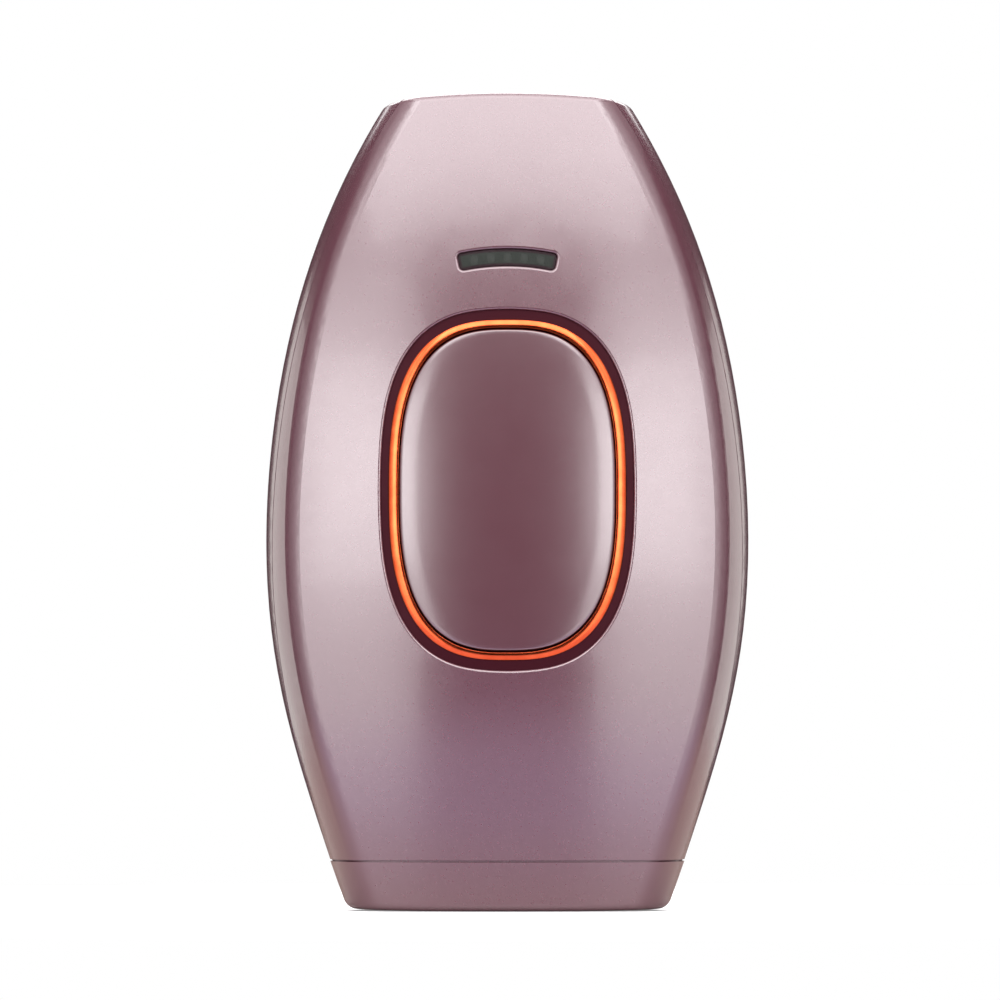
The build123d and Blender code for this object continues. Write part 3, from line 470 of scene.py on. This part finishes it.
cap_rings = []
for ring in range(1, TOP_RINGS + 1):
    grow = (ring / TOP_RINGS) ** 0.75  # closer together towards the rim
    from_edge = cap_size[0] * (1 - grow) + CAP_EDGE * grow
    size = (cap_size[0] - from_edge, (cap_size[1] - CAP_EDGE) * grow)
    cap_rings.append(cap_ring(size, 0.0, roll_off(from_edge)))
for step in range(1, EDGE_STEPS + 1):
    turn = math.pi / 2 * step / EDGE_STEPS
    inward = CAP_EDGE * (1 - math.sin(turn))
    sink = CAP_EDGE * (1 - math.cos(turn))
    cap_rings.append(cap_ring((cap_size[0] - inward, cap_size[1] - inward), sink, roll_off(0)))
cap_rings.append(cap_ring(cap_size, CAP_THICK + CAP_PROUD))
nib_ring = []
for step in range(OUTLINE_STEPS):
    angle = 2 * math.pi * step / OUTLINE_STEPS
    nib_ring.append((NIB_RADIUS * math.cos(angle), button_z + NIB_RADIUS * math.sin(angle)))
cap_rings.append([(x, front_y(x, z) + CAP_THICK, z) for x, z in nib_ring])
cap_rings.append([(x, button_high.y - skin_inset, z) for x, z in nib_ring])
cap = skin_rings("button_cap", cap_rings, cap_start=True, cap_end=True)
cap.data.set_sharp_from_angle(angle=math.radians(40))
cap.data.materials.append(button_lacquer)
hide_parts("fire_button")
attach(cap, "button")

# %% [markdown]
# ## Moulded plastics
#
# The carrier round the button, the window bezel and the grille are moulded in a dark plum. The parts inside
# use black, cream and green plastics. All of them share the moulded grain with their own colour and gloss; the
# carrier's reflection is turned far down as painted shade, so its channel reads dark.


# %% Moulded plastics
def moulded(name, plastic, worn, roughness, grain=0.0003, depth=0.00001, handling=0.25, coat=0.0, shine=0.5):
    material, tree, shader, place = start_finish(
        name, Coat_Weight=coat, Coat_Roughness=0.12, Specular_IOR_Level=shine
    )
    surface = use_group(
        tree, MOULDED_GRAIN, Place=place, Plastic=plastic, Worn=worn, Grain_Size=grain, Roughness=roughness,
        Handling=handling,
    )
    tree.links.new(surface.outputs["Color"], shader.inputs["Base Color"])
    tree.links.new(surface.outputs["Roughness"], shader.inputs["Roughness"])
    bump_from(tree, shader, surface.outputs["Height"], depth, 0.6)
    return material


PLUM, PLUM_WORN = (0.034, 0.005, 0.009, 1), (0.05, 0.012, 0.018, 1)
# painted shade: the carrier keeps the plum colour, but its reflection is turned right down so the channel
# round the button reads dark, like a shaded groove
dress(moulded("plum_moulding_dimmed_as_shade", PLUM, PLUM_WORN, 0.42, shine=0.05), "button_bezel")
dress(moulded("plum_satin_moulding", PLUM, PLUM_WORN, 0.42), "head_bezel", "vent_grille")
dress(
    moulded("blank_plate_foil", (0.30, 0.20, 0.22, 1), (0.4, 0.3, 0.3, 1), 0.5, grain=0.0006), "rating_plate"
)
BLACK, BLACK_WORN = (0.012, 0.012, 0.013, 1), (0.04, 0.04, 0.042, 1)
dress(
    moulded("black_moulding", BLACK, BLACK_WORN, 0.5),
    "fan_frame", "fan_rotor", "tact_switch", "switch_plunger", "controller_chip", "power_transistor",
    "board_link", "capacitor_strap", "dc_jack",
)
CREAM, CREAM_WORN = (0.62, 0.56, 0.46, 1), (0.5, 0.42, 0.3, 1)
dress(moulded("cream_heat_moulding", CREAM, CREAM_WORN, 0.55), "lamp_housing", "thermal_cutout")
RED_RUBBER, RED_RUBBER_WORN = (0.42, 0.09, 0.06, 1), (0.5, 0.18, 0.14, 1)
dress(
    moulded("red_silicone", RED_RUBBER, RED_RUBBER_WORN, 0.6),
    "window_gasket", "lamp_boot_left", "lamp_boot_right",
)
BLUE, BLUE_WORN = (0.015, 0.02, 0.07, 1), (0.05, 0.06, 0.14, 1)
dress(moulded("sleeve_blue", BLUE, BLUE_WORN, 0.32, coat=0.3), "storage_capacitor")
FERRITE, FERRITE_WORN = (0.05, 0.05, 0.055, 1), (0.12, 0.11, 0.1, 1)
dress(
    moulded("ferrite_core", FERRITE, FERRITE_WORN, 0.7, grain=0.0005, depth=0.00004), "charge_transformer"
)
WHITE, WHITE_WORN = (0.7, 0.7, 0.68, 1), (0.5, 0.48, 0.44, 1)
dress(moulded("white_insulation", WHITE, WHITE_WORN, 0.45), "lamp_lead_left", "lamp_lead_right")
dress(moulded("red_insulation", (0.5, 0.02, 0.02, 1), (0.6, 0.08, 0.06, 1), 0.4), "dc_lead_plus")
dress(moulded("black_insulation", BLACK, BLACK_WORN, 0.4), "dc_lead_minus")

# %% [markdown]
# ## Smoked indicator lens
#
# Five small lamps sit behind a smoked strip. Unlit, they are only faint paler spots in the dark plastic. The
# spots lie at even steps along the bow, so a cosine wave across the strip, cut to its middle line, places
# them. The strip's rim is painted darker, a painted shade for the shadow that the side wall of its opening
# casts.

# %% Smoked lens
led_names = sorted(name for name in part if name.startswith("indicator_led_"))
led_spots = [sum(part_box(name), start=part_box(name)[0] * 0) / 2 for name in led_names]
led_pitch = (led_spots[-1].x - led_spots[0].x) / (len(led_spots) - 1)
bow_radius = 0.041
bow_centre_z = led_spots[len(led_spots) // 2].z - bow_radius
lens_reach = math.radians(12.1)  # half the angle that the strip covers on its bow
print("lamps", len(led_spots), "pitch in mm", round(led_pitch * 1000, 2))


def smoked_lens():
    material, tree, shader, place = start_finish(
        "smoked_lens", Roughness=0.16, Coat_Weight=0.5, Coat_Roughness=0.05
    )
    axes = add_node(tree, "ShaderNodeSeparateXYZ", {"Vector": place})
    step = add_node(
        tree, "ShaderNodeMath", {0: axes.outputs["X"], 1: 2 * math.pi / led_pitch}, operation="MULTIPLY"
    )
    wave = add_node(tree, "ShaderNodeMath", {0: step.outputs[0]}, operation="COSINE")
    height = add_node(tree, "ShaderNodeMath", {0: axes.outputs["Z"], 1: bow_centre_z}, operation="SUBTRACT")
    flat = add_node(tree, "ShaderNodeCombineXYZ", {"X": axes.outputs["X"], "Y": height.outputs[0]})
    radius = add_node(tree, "ShaderNodeVectorMath", {0: flat.outputs[0]}, operation="LENGTH")
    off_line = add_node(
        tree, "ShaderNodeMath", {0: radius.outputs["Value"], 1: bow_radius}, operation="SUBTRACT"
    )
    away = add_node(tree, "ShaderNodeMath", {0: off_line.outputs[0]}, operation="ABSOLUTE")
    near_line = add_node(
        tree, "ShaderNodeMapRange",
        {"Value": away.outputs[0], "From Min": 0.0002, "From Max": 0.0011, "To Min": 1.0, "To Max": 0.0},
        interpolation_type="SMOOTHSTEP",
    )
    near_spot = add_node(
        tree, "ShaderNodeMapRange", {"Value": wave.outputs[0], "From Min": -0.4, "From Max": 1.0},
        interpolation_type="SMOOTHSTEP",
    )
    side = add_node(tree, "ShaderNodeMath", {0: axes.outputs["X"]}, operation="ABSOLUTE")
    last = add_node(
        tree, "ShaderNodeMath", {0: side.outputs[0], 1: led_pitch * 2.45}, operation="LESS_THAN"
    )
    spot = add_node(
        tree, "ShaderNodeMath", {0: near_line.outputs[0], 1: near_spot.outputs[0]}, operation="MULTIPLY"
    )
    mask = add_node(tree, "ShaderNodeMath", {0: spot.outputs[0], 1: last.outputs[0]}, operation="MULTIPLY")
    haze = add_node(tree, "ShaderNodeTexNoise", {"Vector": place, "Scale": 900.0, "Detail": 3.0})
    haze_mask = add_node(
        tree, "ShaderNodeMath", {0: mask.outputs[0], 1: haze.outputs["Fac"]}, operation="MULTIPLY"
    )
    tone = add_node(tree, "ShaderNodeMix", {"Factor": haze_mask.outputs[0]}, data_type="RGBA")
    tone.inputs["A"].default_value = (0.017, 0.020, 0.0165, 1)
    tone.inputs["B"].default_value = (0.040, 0.042, 0.038, 1)
    # painted shade: near its ends and long edges the strip darkens to a dark plum, standing in for the shadow
    # of its opening's side wall
    along = add_node(tree, "ShaderNodeMath", {0: side.outputs[0], 1: height.outputs[0]}, operation="ARCTAN2")
    rim_shade_end = add_node(
        tree, "ShaderNodeMapRange",
        {"Value": along.outputs[0], "From Min": lens_reach - 0.014, "From Max": lens_reach - 0.009},
    )
    rim_shade_side = add_node(
        tree, "ShaderNodeMapRange", {"Value": away.outputs[0], "From Min": 0.00092, "From Max": 0.00112}
    )
    rim_shade_mask = add_node(
        tree, "ShaderNodeMath", {0: rim_shade_end.outputs[0], 1: rim_shade_side.outputs[0]}, operation="MAXIMUM"
    )
    rim_shaded_tone = add_node(tree, "ShaderNodeMix", {"Factor": rim_shade_mask.outputs[0]}, data_type="RGBA")
    tree.links.new(tone.outputs["Result"], rim_shaded_tone.inputs["A"])
    rim_shaded_tone.inputs["B"].default_value = (0.014, 0.003, 0.006, 1)
    tree.links.new(rim_shaded_tone.outputs["Result"], shader.inputs["Base Color"])
    bump_from(tree, shader, haze.outputs["Fac"], 0.000004, 0.3)
    return material


dress(smoked_lens(), "indicator_lens")

# %% [markdown]
# ## Glass
#
# The filter window and the flash tube are glass. Both let light through, and both get a little dust and a
# coating tint, because perfectly clean glass would almost vanish.


# %% Glass
def glass(name, tint, roughness, ior):
    material, tree, shader, place = start_finish(name, IOR=ior, Transmission_Weight=1.0, Metallic=0.0)
    film = add_node(tree, "ShaderNodeTexNoise", {"Vector": place, "Scale": 140.0, "Detail": 4.0})
    tone = add_node(tree, "ShaderNodeMix", {"Factor": film.outputs["Fac"]}, data_type="RGBA")
    tone.inputs["A"].default_value = tint
    tone.inputs["B"].default_value = tuple(0.8 * value for value in tint[:3]) + (1,)
    haze = add_node(
        tree, "ShaderNodeMapRange",
        {"Value": film.outputs["Fac"], "From Min": 0.4, "From Max": 0.8,
         "To Min": roughness, "To Max": roughness + 0.08},
    )
    tree.links.new(tone.outputs["Result"], shader.inputs["Base Color"])
    tree.links.new(haze.outputs[0], shader.inputs["Roughness"])
    return material


dress(glass("coated_filter_glass", (0.95, 0.62, 0.42, 1), 0.02, 1.52), "filter_glass")
dress(glass("quartz_tube", (0.96, 0.97, 1.0, 1), 0.01, 1.46), "flash_lamp")
dress(glass("light_guide_acrylic", (0.95, 0.96, 0.95, 1), 0.25, 1.49), "light_guide")

# %% [markdown]
# ## Metals inside
#
# Screws, contacts, the reflector and the heat sink are bare metals. Their machining shows as fine brushing:
# noise stretched along one axis, used for roughness and a shallow bump.


# %% Bare metals
def bare_metal(name, bright, dull, roughness, stretch=(1, 1, 12), scale=700.0):
    material, tree, shader, place = start_finish(name, Metallic=1.0)
    run = add_node(tree, "ShaderNodeMapping", {"Vector": place, "Scale": stretch})
    brush = add_node(tree, "ShaderNodeTexNoise", {"Vector": run.outputs[0], "Scale": scale, "Detail": 4.0})
    tone = add_node(tree, "ShaderNodeMix", {"Factor": brush.outputs["Fac"]}, data_type="RGBA")
    tone.inputs["A"].default_value = bright
    tone.inputs["B"].default_value = dull
    rough = add_node(
        tree, "ShaderNodeMapRange",
        {"Value": brush.outputs["Fac"], "To Min": roughness, "To Max": roughness + 0.18},
    )
    tree.links.new(tone.outputs["Result"], shader.inputs["Base Color"])
    tree.links.new(rough.outputs[0], shader.inputs["Roughness"])
    bump_from(tree, shader, brush.outputs["Fac"], 0.00001, 0.4)
    return material


screws = sorted(name for name in part if "_screw_" in name)
dress(bare_metal("zinc_steel", (0.62, 0.62, 0.6, 1), (0.4, 0.4, 0.4, 1), 0.28), *screws, "fan_shaft")
dress(
    bare_metal("polished_contact", (0.8, 0.78, 0.75, 1), (0.62, 0.6, 0.58, 1), 0.14),
    "skin_sensor_front", "skin_sensor_back",
)
dress(bare_metal("mirror_sheet", (0.9, 0.9, 0.9, 1), (0.8, 0.8, 0.8, 1), 0.06), "reflector")
dress(bare_metal("extruded_aluminium", (0.75, 0.76, 0.78, 1), (0.5, 0.51, 0.52, 1), 0.35), "heat_sink")
dress(
    bare_metal("tinned_terminal", (0.78, 0.77, 0.72, 1), (0.5, 0.49, 0.45, 1), 0.25),
    "lamp_electrode_left", "lamp_electrode_right", "capacitor_terminal_left", "capacitor_terminal_right",
    "dc_jack_pin",
)
dress(bare_metal("turned_brass", (0.78, 0.56, 0.25, 1), (0.5, 0.34, 0.13, 1), 0.25), "fan_bearing")

# %% [markdown]
# ## Windings, boards and lamps
#
# A coil is many turns of lacquered wire: stripes round the part, from a wave, with a bump that makes each
# turn round. The stripes are painted shade in the gaps between turns and painted highlight on their tops. A
# board is glass cloth under solder mask, so a fine weave shows through the green.


# %% Windings and boards
def coil_winding():
    material, tree, shader, place = start_finish("coil_winding", Metallic=0.7, Coat_Weight=0.5)
    turns = add_node(
        tree, "ShaderNodeTexWave", {"Vector": place, "Scale": 620.0, "Distortion": 0.4},
        wave_type="BANDS", bands_direction="Y",
    )
    # painted shade and highlight: the wave darkens the copper colour in the gaps between turns and lightens it
    # on their tops
    tone = add_node(tree, "ShaderNodeMix", {"Factor": turns.outputs["Fac"]}, data_type="RGBA")
    tone.inputs["A"].default_value = (0.12, 0.03, 0.01, 1)
    tone.inputs["B"].default_value = (0.62, 0.24, 0.08, 1)
    rough = add_node(
        tree, "ShaderNodeMapRange", {"Value": turns.outputs["Fac"], "To Min": 0.5, "To Max": 0.25}
    )
    tree.links.new(tone.outputs["Result"], shader.inputs["Base Color"])
    tree.links.new(rough.outputs[0], shader.inputs["Roughness"])
    bump_from(tree, shader, turns.outputs["Fac"], 0.00015, 0.8)
    return material


def circuit_board():
    material, tree, shader, place = start_finish("circuit_board", Coat_Weight=0.3)
    weave = add_node(tree, "ShaderNodeTexChecker", {"Vector": place, "Scale": 1600.0})
    copper = add_node(
        tree, "ShaderNodeTexBrick", {"Vector": place, "Scale": 260.0, "Mortar Size": 0.03},
        offset=0.5, squash=1.4,
    )
    copper.inputs["Color1"].default_value = (0.012, 0.085, 0.03, 1)
    copper.inputs["Color2"].default_value = (0.016, 0.11, 0.04, 1)
    copper.inputs["Mortar"].default_value = (0.03, 0.16, 0.06, 1)
    tone = add_node(tree, "ShaderNodeMix", {"Factor": 0.12}, data_type="RGBA")
    tree.links.new(copper.outputs["Color"], tone.inputs["A"])
    tree.links.new(weave.outputs["Color"], tone.inputs["B"])
    rough = add_node(
        tree, "ShaderNodeMapRange", {"Value": weave.outputs["Fac"], "To Min": 0.32, "To Max": 0.42}
    )
    tree.links.new(tone.outputs["Result"], shader.inputs["Base Color"])
    tree.links.new(rough.outputs[0], shader.inputs["Roughness"])
    bump_from(tree, shader, copper.outputs["Fac"], 0.00003, 0.5)
    return material


dress(coil_winding(), "fan_stator", "power_inductor", "trigger_transformer")
dress(circuit_board(), "main_board", "control_board")
dress(moulded("lamp_phosphor", (0.75, 0.72, 0.42, 1), (0.8, 0.78, 0.6, 1), 0.4), *led_names)
undressed = set(part) - dressed
print("parts still bare:", sorted(undressed))

# %% [markdown]
# ## Floor
#
# The object stands on a small pale disc whose edge fades out, so there is no horizon. The camera sees plain
# white paper. Every other ray meets a glossy, tinted copy of it, so the lower part of the paint mirrors a
# cool tone in front and a warm one behind, as it would over a polished table.


# %% Floor disc
FLOOR_GLOW, FADE_FROM, FADE_TO = 0.28, 0.11, 0.21  # its own light; metres from the middle where it fades


def floor_disc(radius=0.30, rings=24, corners=96):
    verts, faces = [(0, 0, 0)], []
    for ring in range(1, rings + 1):
        for corner in range(corners):
            angle = 2 * math.pi * corner / corners
            r = radius * ring / rings
            verts.append((r * math.cos(angle), r * math.sin(angle), 0))
    for corner in range(corners):
        faces.append((0, 1 + corner, 1 + (corner + 1) % corners))
    for ring in range(rings - 1):
        start, outer = 1 + ring * corners, 1 + (ring + 1) * corners
        for corner in range(corners):
            following = (corner + 1) % corners
            faces.append((start + corner, outer + corner, outer + following, start + following))
    mesh = bpy.data.meshes.new("floor")
    mesh.from_pydata(verts, [], faces)
    floor = bpy.data.objects.new("floor", mesh)
    floor.location.z = low.z - 0.0001
    bpy.context.scene.collection.objects.link(floor)
    material, tree, shader, place = start_finish("pale_floor", Roughness=0.7)
    paper = add_node(tree, "ShaderNodeTexNoise", {"Vector": place, "Scale": 60.0, "Detail": 4.0})
    tone = add_node(
        tree, "ShaderNodeMapRange", {"Value": paper.outputs["Fac"], "To Min": 0.86, "To Max": 0.92}
    )
    reach = add_node(tree, "ShaderNodeVectorMath", {0: place}, operation="LENGTH")
    fade = add_node(
        tree, "ShaderNodeMapRange",
        {"Value": reach.outputs["Value"], "From Min": FADE_FROM, "From Max": FADE_TO,
         "To Min": 1.0, "To Max": 0.0},
        interpolation_type="SMOOTHSTEP",
    )
    tree.links.new(tone.outputs[0], shader.inputs["Base Color"])
    tree.links.new(fade.outputs[0], shader.inputs["Alpha"])
    shader.inputs["Emission Color"].default_value = (1, 1, 1, 1)
    shader.inputs["Emission Strength"].default_value = FLOOR_GLOW
    seen = add_node(tree, "ShaderNodeLightPath").outputs["Is Camera Ray"]
    axes = add_node(tree, "ShaderNodeSeparateXYZ", {"Vector": place})
    behind = add_node(
        tree, "ShaderNodeMapRange", {"Value": axes.outputs["Y"], "From Min": -0.06, "From Max": 0.01}
    )
    tint = add_node(tree, "ShaderNodeMix", {"Factor": behind.outputs[0]}, data_type="RGBA")
    tint.inputs["A"].default_value = (0.46, 0.41, 0.56, 1)
    tint.inputs["B"].default_value = (0.50, 0.38, 0.33, 1)
    glossy = add_node(
        tree, "ShaderNodeBsdfPrincipled",
        {"Base Color": tint.outputs["Result"], "Roughness": 0.22, "Specular IOR Level": 0.8,
         "Alpha": fade.outputs[0]},
    )
    choose = add_node(tree, "ShaderNodeMixShader", {0: seen})
    tree.links.new(glossy.outputs[0], choose.inputs[1])
    tree.links.new(shader.outputs[0], choose.inputs[2])
    tree.links.new(choose.outputs[0], tree.nodes["Material Output"].inputs["Surface"])
    mesh.materials.append(material)
    return floor


floor_disc()

# %% [markdown]
# ## Studio light
#
# Glossy curved paint is lit by what it mirrors. Two upright pairs of soft boxes in front, one pair each side,
# give the pale bands down the casing; the gap between them leaves its middle dark. A row of narrow boxes
# beside each pair gets dimmer step by step, so the creases fade softly. A large box overhead lightens the
# head end, and boxes further round catch the narrow side facets and the back.


# %% Soft boxes
def soft_box(name, azimuth, elevation, span_across, span_up, power, tint=(1, 1, 1), away=0.9):
    light = bpy.data.lights.new(name, "AREA")
    light.shape = "RECTANGLE"
    light.size = 2 * away * math.tan(math.radians(span_across / 2))
    light.size_y = 2 * away * math.tan(math.radians(span_up / 2))
    light.energy = power * light.size * light.size_y
    light.color = tint
    lamp = bpy.data.objects.new(name, light)
    az, el = math.radians(azimuth), math.radians(elevation)
    lamp.location = (
        away * math.sin(az) * math.cos(el),
        -away * math.cos(az) * math.cos(el),
        middle_z + away * math.sin(el),
    )
    lamp.rotation_euler = (math.pi / 2 - el, 0, az)
    lamp.visible_camera = False
    bpy.context.scene.collection.objects.link(lamp)
    print(name, "at", azimuth, elevation)
    return lamp


# each box: azimuth and elevation in degrees, width and height in degrees as the object sees it, power
FALL_OFF = (7.6, 5.4, 3.9, 2.9, 2.2, 1.7, 1.4, 1.2, 1.0, 0.9)  # dimmer and dimmer towards the sides
FALL_START, FALL_STEP, FALL_WIDTH = 48.5, 5, 5.2  # degrees
for side, hand in (("left", -1), ("right", 1)):
    soft_box(side + "_strip", hand * 33, 4, 26, 17, 8.4)
    soft_box(side + "_strip_tall", hand * 33, -2, 26, 42, 6.6, away=0.95)
    soft_box(side + "_bridge", hand * 39, 35, 14, 30, 5.0)
    for step, fall_power in enumerate(FALL_OFF):
        azimuth = hand * (FALL_START + FALL_STEP * step)
        soft_box(f"{side}_fall_{step + 1}", azimuth, 8, FALL_WIDTH, 84, fall_power)
    soft_box(side + "_high", hand * 100, 52, 50, 40, 1.5)
    soft_box(side + "_back", hand * 129, -8, 36, 42, 4.8, tint=(0.98, 0.97, 0.92))
soft_box("overhead", 0, 47, 62, 46, 13.0)
soft_box("top", 0, 88, 60, 36, 8)
soft_box("top_back", 180, 42, 60, 40, 12)

# %% [markdown]
# The world is white where the camera looks straight at it and a dim grey for everything else, so the paint
# gets a little light from all round without losing its dark middle.

# %% World
FILL_STRENGTH = 0.03
world = bpy.data.worlds.new("studio")
world.use_nodes = True
world_tree = world.node_tree
world_tree.nodes.clear()
seen = add_node(world_tree, "ShaderNodeLightPath").outputs["Is Camera Ray"]
fill = add_node(world_tree, "ShaderNodeBackground", {"Color": (1.0, 0.98, 0.99, 1), "Strength": FILL_STRENGTH})
paper_white = add_node(world_tree, "ShaderNodeBackground", {"Color": (1, 1, 1, 1), "Strength": 1.0})
choose = add_node(world_tree, "ShaderNodeMixShader", {0: seen})
world_tree.links.new(fill.outputs[0], choose.inputs[1])
world_tree.links.new(paper_white.outputs[0], choose.inputs[2])
add_node(world_tree, "ShaderNodeOutputWorld", {"Surface": choose.outputs[0]})
bpy.context.scene.world = world
